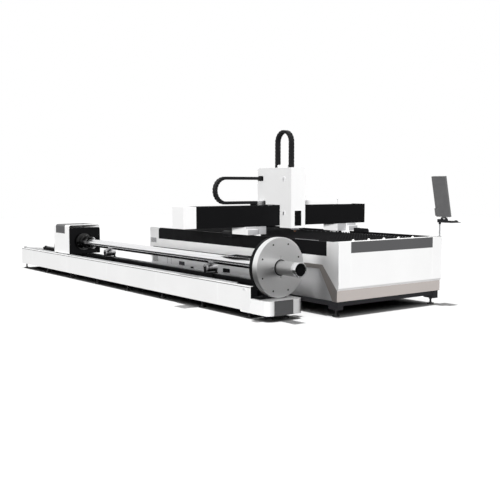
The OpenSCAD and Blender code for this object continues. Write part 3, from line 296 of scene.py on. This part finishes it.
def turnedMetal(name, color, centre, smooth=0.12, rough=0.22):
    finish, tree, shader = startFinish(name, 1.0, 0.5)
    rings = tree.nodes.new("ShaderNodeTexWave")
    rings.wave_type = "RINGS"
    rings.rings_direction = "Y"
    rings.inputs["Scale"].default_value = latheLook["rings"]
    rings.inputs["Distortion"].default_value = latheLook["waver"]
    rings.inputs["Detail"].default_value = latheLook["detail"]
    tree.links.new(placedCoords(tree, centre=centre), rings.inputs["Vector"])
    marks = rings.outputs["Fac"]
    tint(tree, shader, marks, color, latheLook["darkest"], latheLook["spread"])
    gloss(tree, shader, marks, smooth, rough)
    relief(tree, shader, marks, latheLook["strength"], latheLook["depth"])
    return finish


mouldLook = {
    "clouds": 9, "darkest": 0.85, "sheen": 30, "pores": 900, "strength": 0.12, "depth": 0.0004,
}


def mouldedPlastic(name, color, smooth=0.4, rough=0.55, specular=0.3):
    finish, tree, shader = startFinish(name, 0.0, specular)
    tint(tree, shader, grain(tree, mouldLook["clouds"]), color, mouldLook["darkest"])
    gloss(tree, shader, grain(tree, mouldLook["sheen"], 2), smooth, rough)
    pores = grain(tree, mouldLook["pores"], 2)
    relief(tree, shader, pores, mouldLook["strength"], mouldLook["depth"])
    return finish


discLow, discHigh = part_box("chuck_disc")
spindleCentre = ((discLow.x + discHigh.x) / 2, discLow.y, (discLow.z + discHigh.z) / 2)
finishes = {
    "white_paint": powderCoat("whitePowderCoat", (0.90, 0.90, 0.90)),
    "black_paint": powderCoat("satinBlackPaint", (0.006, 0.006, 0.0065), 0.45, 0.6, 0.05),
    "dark_paint": powderCoat("underframePaint", (0.022, 0.022, 0.024), 0.45, 0.6, 0.12),
    "gray_paint": powderCoat("stripGrayPaint", (0.10, 0.10, 0.103), 0.4, 0.5, 0.2),
    "inset_paint": powderCoat("sidePanelGrayPaint", (0.74, 0.74, 0.75)),
    "beige_paint": powderCoat("warmGrayPaint", (0.36, 0.33, 0.315)),
    "plate_paint": powderCoat("endPlatePaint", (0.075, 0.075, 0.077), 0.4, 0.5, 0.2),
    "foot_steel": brushedMetal("blackenedFootSteel", (0.10, 0.10, 0.10), (1, 1, 0.2), 0.35, 0.5),
    "rail_steel": brushedMetal("groundRailSteel", (0.72, 0.73, 0.74), (1, 0.03, 1), 0.34, 0.48),
    "slat_steel": brushedMetal("millSlatSteel", (0.05, 0.05, 0.052), (0.05, 1, 1), 0.5, 0.7),
    "ball_plastic": mouldedPlastic("whiteNylon", (0.82, 0.82, 0.80), 0.2, 0.3, 0.5),
    "motor_plastic": mouldedPlastic("motorCase", (0.008, 0.008, 0.009), 0.4, 0.5, 0.1),
    "chuck_metal": turnedMetal("turnedChuckPlate", (0.94, 0.94, 0.94), spindleCentre, 0.30, 0.40),
    "chuck_steel": turnedMetal("turnedChuckSteel", (0.80, 0.80, 0.81), spindleCentre, 0.04, 0.08),
    "jaw_steel": brushedMetal("hardenedJawSteel", (0.88, 0.88, 0.89), (1, 0.1, 1), 0.12, 0.2),
    "tube_steel": brushedMetal("drawnTubeSteel", (0.90, 0.90, 0.91), (1, 0.02, 1), 0.12, 0.18),
    "roller_steel": brushedMetal("turnedRollerSteel", (0.78, 0.78, 0.79), (0.05, 1, 1)),
    "cast_aluminium": brushedMetal("machinedAluminium", (0.62, 0.62, 0.64), (0.1, 1, 1)),
    "nozzle_copper": brushedMetal("machinedCopper", (0.72, 0.40, 0.25), (1, 1, 0.1)),
    "chain_plastic": mouldedPlastic("chainNylon", (0.010, 0.010, 0.011), 0.4, 0.5, 0.15),
    "window_plastic": mouldedPlastic("darkAcrylic", (0.004, 0.004, 0.0045), 0.2, 0.3, 0.08),
    "key_plastic": mouldedPlastic("keyPlastic", (0.02, 0.02, 0.02), 0.45, 0.55, 0.3),
    "monitor_plastic": mouldedPlastic("monitorPlastic", (0.14, 0.14, 0.142), 0.4, 0.5, 0.25),
}
print("finishes made:", len(finishes))

# Edges: each hard node gets a copy with broken edges, as bent sheet and machined blocks have
edgeWidths = {
    "front_panel": 0.0018, "front_strip": 0.0006, "lower_trim": 0.0015, "side_panels": 0.0015,
    "side_insets": 0.0010, "rear_panel": 0.0015, "rail_guards": 0.0015, "bed_frame": 0.006,
    "bed_plinth": 0.004, "slat_ledges": 0.0015, "bed_rails": 0.0015, "console_post": 0.001,
    "tube_bed_frame": 0.005, "tube_bed_panels": 0.0015, "end_box": 0.005, "end_plate": 0.001,
    "tube_bed_rails": 0.0015, "chuck_stand": 0.004, "support_bases": 0.002,
    "gantry_carriages": 0.0015, "gantry_motors": 0.003, "gantry_beam": 0.002, "beam_cover": 0.002,
    "beam_end_cap": 0.0015, "beam_rails": 0.0015, "chain_tray": 0.0012, "chain_anchor": 0.004,
    "head_saddle": 0.002, "head_housing": 0.0018, "head_window": 0.001, "head_latches": 0.001,
    "chain_bracket": 0.003, "laser_head": 0.003, "nozzle": 0.0006, "chuck_disc": 0.0025,
    "guide_nose": 0.002, "rear_carriage": 0.003, "rear_housing": 0.0018, "rear_face": 0.001,
    "rear_chuck": 0.003, "jaw_1": 0.002, "jaw_2": 0.002, "jaw_3": 0.002, "jaw_4": 0.002,
    "support_post_1": 0.002, "support_post_2": 0.002, "support_roller_1": 0.001,
    "support_roller_2": 0.001, "keyboard_tray": 0.0015, "monitor": 0.003,
}
ownFinishes = {   # duller than the rest of their slot
    "guide_nose": turnedMetal("blastedNoseSteel", (0.55, 0.55, 0.55), spindleCentre, 0.5, 0.65),
    "rear_chuck": turnedMetal("blackenedChuckSteel", (0.11, 0.11, 0.11), spindleCentre, 0.12, 0.2),
    "chain_anchor": brushedMetal("castAnchorSteel", (0.85, 0.85, 0.86), (0.1, 1, 1), 0.5, 0.65),
}
smoothAngle = math.radians(35)
flatAngle = math.radians(0.5)
mergeDistance = 0.00002


def addPiece(name, mesh, body, slot):
    piece = bpy.data.objects.new(name, mesh)
    bpy.context.scene.collection.objects.link(piece)
    mesh.materials.clear()
    mesh.materials.append(finishes[slot])
    if body:
        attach(piece, body)
    return piece


def shadeByAngle(mesh):
    mesh.polygons.foreach_set("use_smooth", [True] * len(mesh.polygons))
    mesh.set_sharp_from_angle(angle=smoothAngle)


def mergedShape(mesh, flatten=True):   # a CAD mesh is loose triangles
    shape = bmesh.new()
    shape.from_mesh(mesh)
    bmesh.ops.remove_doubles(shape, verts=shape.verts, dist=mergeDistance)
    if flatten:
        bmesh.ops.dissolve_limit(
            shape, angle_limit=flatAngle, verts=shape.verts, edges=shape.edges)
    return shape


def softened(node, width):
    source = nodes[node]
    mesh = source.data.copy()
    mesh.name = node + "Softened"
    if "custom_normal" in mesh.attributes:
        mesh.attributes.remove(mesh.attributes["custom_normal"])
    shape = mergedShape(mesh)
    shape.to_mesh(mesh)
    shape.free()
    shadeByAngle(mesh)
    piece = addPiece(node + "Softened", mesh, source["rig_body"], slotOf[node])
    edges = piece.modifiers.new("brokenEdges", "BEVEL")
    edges.width = width
    edges.segments = 2
    edges.limit_method = "ANGLE"
    edges.angle_limit = smoothAngle
    edges.harden_normals = True
    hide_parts(node)
    if node in ownFinishes:
        mesh.materials[0] = ownFinishes[node]


for node, width in edgeWidths.items():
    softened(node, width)
for node, source in nodes.items():
    source.data.materials.clear()
    source.data.materials.append(finishes[slotOf[node]])
print("edges broken:", len(edgeWidths))

# Small pieces are placed from the flat bed's front left corner at the floor
bedCorner = Vector((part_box("side_panels")[0].x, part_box("front_panel")[0].y, 0))


def fromBed(x, y, z):
    return bedCorner + Vector((x, y, z))


def addBlock(shape, low, high):
    sized = Matrix.Diagonal((*(high - low), 1))
    bmesh.ops.create_cube(shape, size=1, matrix=Matrix.Translation((low + high) / 2) @ sized)


def bedBlock(shape, xSpan, ySpan, zSpan):
    low, high = (fromBed(*corner) for corner in zip(xSpan, ySpan, zSpan))
    addBlock(shape, low, high)


def addRod(shape, start, end, radius, sides=20):
    along = end - start
    turned = along.to_track_quat("Z", "Y").to_matrix().to_4x4()
    bmesh.ops.create_cone(
        shape, cap_ends=True, segments=sides, radius1=radius, radius2=radius, depth=along.length,
        matrix=Matrix.Translation((start + end) / 2) @ turned)


def spanOf(spots, axis):
    values = [spot[axis] for spot in spots]
    return min(values), max(values)


def finishPiece(name, shape, body, slot, edge=0):
    if edge:
        corners = [line for line in shape.edges if line.calc_face_angle(0) > smoothAngle]
        bmesh.ops.bevel(
            shape, geom=corners, offset=edge, offset_type="OFFSET", affect="EDGES", segments=2,
            profile=0.5, material=-1, clamp_overlap=True)
    mesh = bpy.data.meshes.new(name)
    shape.to_mesh(mesh)
    shape.free()
    shadeByAngle(mesh)
    return addPiece(name, mesh, body, slot)


# Cable chains: each run is copied as one fixed piece; the bodies listed for its ends are not used
chainRuns = {
    "chain_lower_run": {"from": "gantry", "to": "bend_lower"},
    "chain_upper_run": {"from": "head", "to": "bend_upper"},
}


def stretchedChain(node):
    mesh = nodes[node].data.copy()
    mesh.name = node + "Stretched"
    piece = addPiece(node + "Stretched", mesh, None, slotOf[node])
    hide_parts(node)
    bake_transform(piece)


for node, setup in chainRuns.items():
    stretchedChain(node)
print("chains hung")

# Front chuck: dark socket screws round the disc; at the nose, a black ring of painted shadow round
# its root, a black liner of painted shade in its bore, and the rim
discScrews = {
    "circle": 0.345, "count": 8, "first": 22.5, "radius": 0.012, "rise": 0.003, "sunk": 0.002,
}
# a black ring proud of the disc round the nose's root: painted shadow of the gap there
noseGroove = {"inner": 0.099, "outer": 0.113, "rise": 0.002, "sunk": 0.001}
# a black sleeve inside the nose's bore: painted shade of the bore's inside
boreLiner = {"inner": 0.0865, "outer": 0.0882, "inset": 0.003}
noseRim = {"inner": 0.0885, "outer": 0.1025, "rise": 0.004, "length": 0.09}
ringSteps = 48


def addRing(shape, centre, size, front, back):
    outline = (("inner", back), ("outer", back), ("outer", front), ("inner", front))
    corners = [
        shape.verts.new(centre + Vector((size[side], depth, 0))) for side, depth in outline]
    loop = [shape.edges.new((corners[side], corners[(side + 1) % 4])) for side in range(4)]
    bmesh.ops.spin(
        shape, geom=corners + loop, cent=centre, axis=(0, 1, 0), angle=math.tau,
        steps=ringSteps, use_merge=True)
    bmesh.ops.recalc_face_normals(shape, faces=shape.faces)


def dressDisc():
    centre = Vector(spindleCentre)
    sunk = Vector((0, discScrews["sunk"], 0))
    rise = Vector((0, -discScrews["rise"], 0))
    shape = bmesh.new()
    for count in range(discScrews["count"]):
        turn = math.radians(discScrews["first"] + 360 / discScrews["count"] * count)
        foot = centre + Vector((math.cos(turn), 0, math.sin(turn))) * discScrews["circle"]
        addRod(shape, foot + sunk, foot + rise, discScrews["radius"])
    finishPiece("discScrews", shape, "front_spindle", "black_paint")
    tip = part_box("guide_nose")[0].y - centre.y
    inset = boreLiner["inset"]
    shape = bmesh.new()
    addRing(shape, centre, noseGroove, -noseGroove["rise"], noseGroove["sunk"])
    finishPiece("noseGroove", shape, "front_spindle", "black_paint")
    shape = bmesh.new()
    addRing(shape, centre, boreLiner, tip + inset, -inset)
    finishPiece("boreLiner", shape, "front_spindle", "black_paint")
    shape = bmesh.new()
    addRing(shape, centre, noseRim, tip - noseRim["rise"], tip + noseRim["length"])
    finishPiece("noseRim", shape, "front_spindle", "chuck_steel", noseRim["rise"])


dressDisc()
print("front chuck dressed")

# Flat bed's side: louvre, stop, bracket and hatch seams on the recessed panel
sideFittings = {
    "panelFace": 0.036,
    "louvre": {
        "y": (4.10, 4.29), "z": (0.407, 0.475), "back": 0.002, "rise": 0.004, "sunk": 0.001,
        "fins": 5, "finInset": 0.01, "finStart": 0.25, "finShare": 0.5},
    "stop": {"y": (3.80, 3.87), "z": (0.351, 0.408), "rise": 0.02, "edge": 0.002},
    "bracket": {"y": (2.68, 2.84), "z": (0.400, 0.465), "rise": 0.03, "edge": 0.003},
    "hatch": {"y": (4.56, 4.70), "z": (0.400, 0.518), "line": 0.005, "rise": 0.001},
}


def dressSidePanel():
    face = sideFittings["panelFace"]
    louvre = sideFittings["louvre"]
    low, high = louvre["z"]
    pitch = (high - low) / louvre["fins"]
    finX = (face - louvre["rise"], face - louvre["sunk"])
    finY = (louvre["y"][0] + louvre["finInset"], louvre["y"][1] - louvre["finInset"])
    shape = bmesh.new()
    bedBlock(shape, (face - louvre["back"], face), louvre["y"], louvre["z"])
    for count in range(louvre["fins"]):
        base = low + pitch * (count + louvre["finStart"])
        bedBlock(shape, finX, finY, (base, base + pitch * louvre["finShare"]))
    finishPiece("sideLouvre", shape, "base", "dark_paint")
    for name in ("stop", "bracket"):
        fitting = sideFittings[name]
        shape = bmesh.new()
        bedBlock(shape, (face - fitting["rise"], face), fitting["y"], fitting["z"])
        finishPiece("side" + name.title(), shape, "base", "black_paint", fitting["edge"])
    hatch = sideFittings["hatch"]
    shape = bmesh.new()
    for y in hatch["y"]:
        bedBlock(shape, (face - hatch["rise"], face), (y, y + hatch["line"]), hatch["z"])
    finishPiece("sideHatchSeams", shape, "base", "gray_paint")


# Flat bed's vents: dark backs on both sides, painted shade seen through the slots
ventShadeBack = {
    "y": (5.049, 5.243), "upper": (0.780, 0.863), "lower": (0.411, 0.539),
    "depth": 0.0015, "thick": 0.0005,
}


def shadeVents():
    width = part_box("side_panels")[1].x - bedCorner.x
    outer, inner = ventShadeBack["depth"], ventShadeBack["depth"] - ventShadeBack["thick"]
    shape = bmesh.new()
    for inset, row in ((0, "upper"), (sideFittings["panelFace"], "lower")):
        far = width - inset
        bedBlock(shape, (inset - outer, inset - inner), ventShadeBack["y"], ventShadeBack[row])
        bedBlock(shape, (far + inner, far + outer), ventShadeBack["y"], ventShadeBack[row])
    # the dark backs are painted shade behind the vent slots
    finishPiece("ventBacks", shape, "base", "dark_paint")


# Flat bed's left rail guard: a thin rod on two feet
guardRod = {"x": 0.02, "y": (0.445, 0.96), "rise": 0.005, "sunk": 0.002, "radius": 0.003}


def addGuardRod():
    x, radius = guardRod["x"], guardRod["radius"]
    first, last = guardRod["y"]
    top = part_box("rail_guards")[1].z
    height = top + guardRod["rise"]
    shape = bmesh.new()
    addRod(shape, fromBed(x, first, height), fromBed(x, last, height), radius)
    for y in guardRod["y"]:
        foot = fromBed(x, y, top - guardRod["sunk"])
        addRod(shape, foot, fromBed(x, y, height + radius), radius)
    finishPiece("guardRod", shape, "base", "rail_steel")


dressSidePanel()
shadeVents()
addGuardRod()
print("bed side dressed")

# Tube bed: latch on the left side and, under each side's folded lip, a dark strip of painted
# shadow
panelLatch = {
    "y": (0.784, 0.854), "z": (0.387, 0.430), "rise": 0.006, "sunk": 0.001, "edge": 0.002,
}
lipShadowLine = {"below": 0.015, "height": 0.008, "rise": 0.0006, "short": 0.004}


def dressTubeBed():
    low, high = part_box("tube_bed_panels")
    face = low.x - bedCorner.x
    latchX = (face - panelLatch["rise"], face + panelLatch["sunk"])
    shape = bmesh.new()
    bedBlock(shape, latchX, panelLatch["y"], panelLatch["z"])
    finishPiece("panelLatch", shape, "base", "inset_paint", panelLatch["edge"])
    top = high.z - lipShadowLine["below"]
    bottom = top - lipShadowLine["height"]
    first, last = low.y + lipShadowLine["short"], high.y - lipShadowLine["short"]
    # a dark strip just under each lip: painted shadow of the lip
    shape = bmesh.new()
    for left, right in ((low.x - lipShadowLine["rise"], low.x), (high.x, high.x + lipShadowLine["rise"])):
        addBlock(shape, Vector((left, first, bottom)), Vector((right, last, top)))
    finishPiece("lipLines", shape, "base", "dark_paint")


dressTubeBed()
print("tube bed dressed")

# Head: frames round the two latches on its left side
latchFrame = {"across": 0.018, "along": 0.016, "rise": 0.0015, "sunk": 0.001, "edge": 0.0005}


def dressHead():
    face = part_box("head_housing")[0].x
    inside = face + latchFrame["sunk"]
    spots = [
        corner.co for corner in nodes["head_latches"].data.vertices if corner.co.x < inside]
    middle = sum(spanOf(spots, 2)) / 2
    across, along = latchFrame["across"], latchFrame["along"]
    shape = bmesh.new()
    for upper in (False, True):
        latch = [spot for spot in spots if (spot.z > middle) == upper]
        front, back = spanOf(latch, 1)
        low, high = spanOf(latch, 2)
        addBlock(
            shape, Vector((face - latchFrame["rise"], front - across, low - along)),
            Vector((inside, back + across, high + along)))
    finishPiece("latchFrames", shape, "head", "inset_paint", latchFrame["edge"])


dressHead()
print("head dressed")

# Rear chuck: a gray cover over the housing's rear band
bandCover = {"behind": 0.2, "rise": 0.0006}


def dressRearHousing():
    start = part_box("rear_face")[0].y + bandCover["behind"]
    shape = mergedShape(nodes["rear_face"].data, flatten=False)
    ahead = [face for face in shape.faces if face.calc_center_median().y < start]
    bmesh.ops.delete(shape, geom=ahead, context="FACES")
    for corner in shape.verts:
        corner.co += corner.normal * bandCover["rise"]
    finishPiece("bandCover", shape, "rear_carriage", "gray_paint")


dressRearHousing()
print("rear housing dressed")

# Gantry: gray sheets on the largest fronts of the carriages, painted shade where they sit in the
# beam's shadow
carriageShadeSheet = {
    "count": 6, "facing": 0.95, "margin": 0.002, "rise": 0.002, "sunk": 0.001, "edge": 0.0005,
    "paint": (0.40, 0.40, 0.41),
}


def shadeCarriages():
    solid = mergedShape(nodes["gantry_carriages"].data)
    fronts = [face for face in solid.faces if face.normal.y < -carriageShadeSheet["facing"]]
    fronts.sort(key=lambda face: -face.calc_area())
    margin = carriageShadeSheet["margin"]
    shape = bmesh.new()
    for face in fronts[:carriageShadeSheet["count"]]:
        spots = [corner.co for corner in face.verts]
        left, right = spanOf(spots, 0)
        low, high = spanOf(spots, 2)
        front = spots[0].y
        addBlock(
            shape, Vector((left + margin, front - carriageShadeSheet["rise"], low + margin)),
            Vector((right - margin, front + carriageShadeSheet["sunk"], high - margin)))
    solid.free()
    shadeSheets = finishPiece("carriageCovers", shape, "gantry", "inset_paint", carriageShadeSheet["edge"])
    # the sheets' gray is painted shade under the beam
    shadeSheets.data.materials[0] = powderCoat("carriageShadeSheetPaint", carriageShadeSheet["paint"])


shadeCarriages()
print("gantry dressed")

# Console: screen glass and key caps
screenGlass = {"facing": 0.9, "border": 0.010, "rise": 0.0008}


def glazeMonitor():
    shape = mergedShape(nodes["monitor"].data)
    facing = [face for face in shape.faces if face.normal.x > screenGlass["facing"]]
    screen = max(facing, key=lambda face: face.calc_area())
    others = [face for face in shape.faces if face is not screen]
    bmesh.ops.delete(shape, geom=others, context="FACES")
    screen = shape.faces[:][0]
    outward = screen.normal.copy()
    border = bmesh.ops.inset_region(
        shape, faces=[screen], thickness=screenGlass["border"], use_even_offset=True)
    bmesh.ops.delete(shape, geom=border["faces"], context="FACES")
    bmesh.ops.translate(shape, verts=shape.verts, vec=outward * screenGlass["rise"])
    finishPiece("screenGlass", shape, "monitor", "window_plastic")


keyCaps = {
    "rows": 5, "columns": 14, "fieldLength": 0.174, "top": 1.306, "rise": 0.003, "sunk": 0.001,
    "margin": 0.006, "gap": 0.0025, "edge": 0.0008,
}


def addKeys():
    low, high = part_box("keyboard_set")
    margin, gap = keyCaps["margin"], keyCaps["gap"]
    left, right = low.x + margin, high.x - margin
    first, last = high.y - keyCaps["fieldLength"] + margin, high.y - margin
    rowPitch = (right - left) / keyCaps["rows"]
    columnPitch = (last - first) / keyCaps["columns"]
    sunk = Vector((0, 0, keyCaps["sunk"]))
    size = Vector((rowPitch - gap, columnPitch - gap, keyCaps["rise"]))
    shape = bmesh.new()
    for row in range(keyCaps["rows"]):
        for column in range(keyCaps["columns"]):
            corner = Vector((left + rowPitch * row, first + columnPitch * column, keyCaps["top"]))
            addBlock(shape, corner - sunk, corner + size)
    finishPiece("keyCaps", shape, "console", "key_plastic", keyCaps["edge"])


glazeMonitor()
addKeys()
print("console dressed")

# Rails: screw heads sunk along their tops
railScrews = {
    "bed_rails": {"lengthwise": 1, "inFromSide": 0.017, "radius": 0.007},
    "tube_bed_rails": {"lengthwise": 1, "inFromSide": 0.012, "radius": 0.006},
    "beam_rails": {"lengthwise": 0, "inFromSide": 0.014, "radius": 0.006},
}
screwHead = {"pitch": 0.12, "fromEnd": 0.03, "sunk": 0.001, "rise": 0.0001, "sides": 12}


def dressRails(node, setup):
    low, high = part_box(node)
    along = setup["lengthwise"]   # 0 is x and 1 is y
    across = 1 - along
    start = low[along] + screwHead["fromEnd"]
    room = high[along] - low[along] - 2 * screwHead["fromEnd"]
    count = int(room / screwHead["pitch"]) + 1
    sunk, rise = Vector((0, 0, screwHead["sunk"])), Vector((0, 0, screwHead["rise"]))
    shape = bmesh.new()
    for row in (low[across] + setup["inFromSide"], high[across] - setup["inFromSide"]):
        for step in range(count):
            spot = high.copy()
            spot[across] = row
            spot[along] = start + screwHead["pitch"] * step
            addRod(shape, spot - sunk, spot + rise, setup["radius"], screwHead["sides"])
    finishPiece(node + "Screws", shape, nodes[node]["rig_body"], "motor_plastic")


for node, setup in railScrews.items():
    dressRails(node, setup)
print("rails dressed")


# Fills: each lights its own pieces, and the floor's shadow comes from above alone
def shareFills():
    for name, fill in studio["fills"].items():
        receivers = bpy.data.collections.new(name + "Receivers")
        for node in fill.get("only") or fill["without"]:
            receivers.objects.link(bpy.data.objects[node + "Softened"])
        if "without" in fill:
            receivers.objects.link(bpy.data.objects["studioFloor"])
            for held in receivers.collection_objects:
                held.light_linking.link_state = "EXCLUDE"
        bpy.data.objects[name].light_linking.receiver_collection = receivers


shareFills()
print("fills shared")
